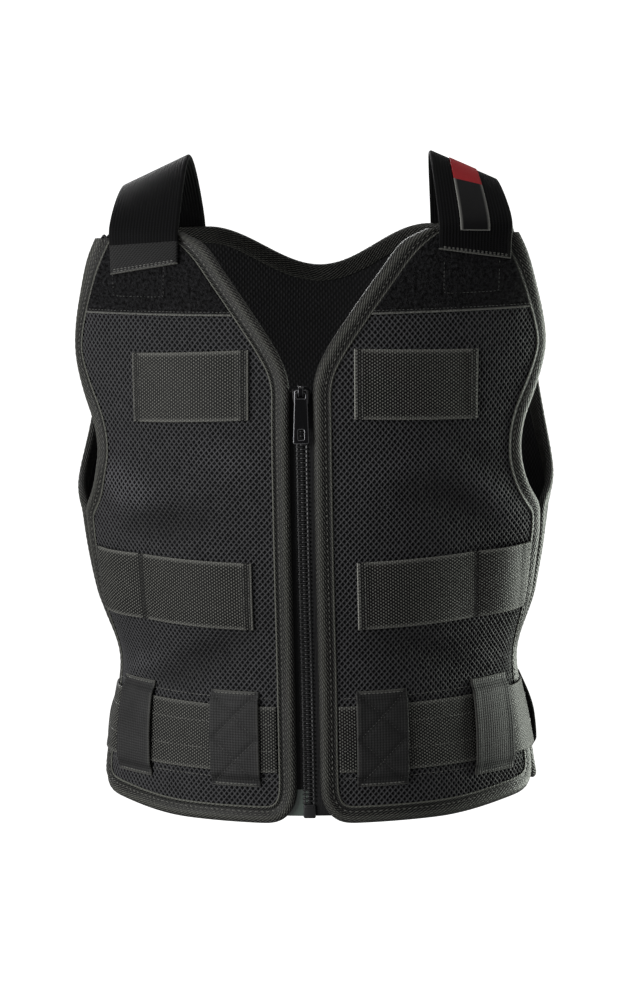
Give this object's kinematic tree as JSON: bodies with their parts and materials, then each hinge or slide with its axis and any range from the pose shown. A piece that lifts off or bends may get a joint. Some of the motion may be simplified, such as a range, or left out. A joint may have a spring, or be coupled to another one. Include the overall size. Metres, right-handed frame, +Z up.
{
  "type": "tool vest",
  "caption": "Sleeveless zipped work vest of black mesh with bound edges, webbing tool loops, a looped waist belt and shoulder straps on soft loop patches.",
  "frame": {"origin": "the shoulder seat: midway between the two straps, level with the underside of their crests, where the shoulders carry the vest", "axes": "+Z up along the vest's length, -Y out of the zipped front, +X to the wearer's left"},
  "size_m": [0.3788, 0.2435, 0.5148],
  "materials": {
    "mesh_cloth": "black spacer mesh with open holes",
    "binding_tape": "black twill binding with diagonal ribs",
    "tool_webbing": "dark grey nylon webbing, basket weave",
    "loop_pile": "black loop pile, matt",
    "strap_webbing": "black ribbed webbing",
    "label_cloth": "plain woven black label with a red end",
    "zip_tape": "black woven zip tape",
    "zip_plastic": "black moulded acetal, satin",
    "zip_metal": "black lacquered die-cast zinc"
  },
  "bodies": {
    "vest": {"front_panel_right": "mesh_cloth", "front_binding_right": "binding_tape", "front_panel_left": "mesh_cloth", "front_binding_left": "binding_tape", "back_panel": "mesh_cloth", "back_binding": "binding_tape", "back_neck_binding": "binding_tape", "loop_patch_right": "loop_pile", "shoulder_strap_right": "strap_webbing", "loop_patch_left": "loop_pile", "shoulder_strap_left": "strap_webbing", "strap_label": "label_cloth", "chest_webbing_right": "tool_webbing", "side_webbing_right": "tool_webbing", "chest_webbing_left": "tool_webbing", "side_webbing_left": "tool_webbing", "waist_belt": "tool_webbing", "belt_loop_front_right": "tool_webbing", "belt_loop_front_left": "tool_webbing", "belt_loop_side_right": "tool_webbing", "belt_loop_side_left": "tool_webbing", "belt_loop_back_right": "tool_webbing", "belt_loop_back_left": "tool_webbing", "zip_tape_right": "zip_tape", "zip_teeth_right": "zip_plastic", "zip_tape_left": "zip_tape", "zip_teeth_left": "zip_plastic", "zip_bottom_stop": "zip_plastic", "zip_slider": "zip_metal"},
    "zip_pull": {"zip_pull": "zip_metal"}
  },
  "joints": [
    {"name": "pull_swing", "type": "hinge", "parent": "vest", "child": "zip_pull", "pos_m": [0, -0.11706, -0.16223], "axis": [-1, 0, 0], "range_deg": [0, 170]}
  ]
}
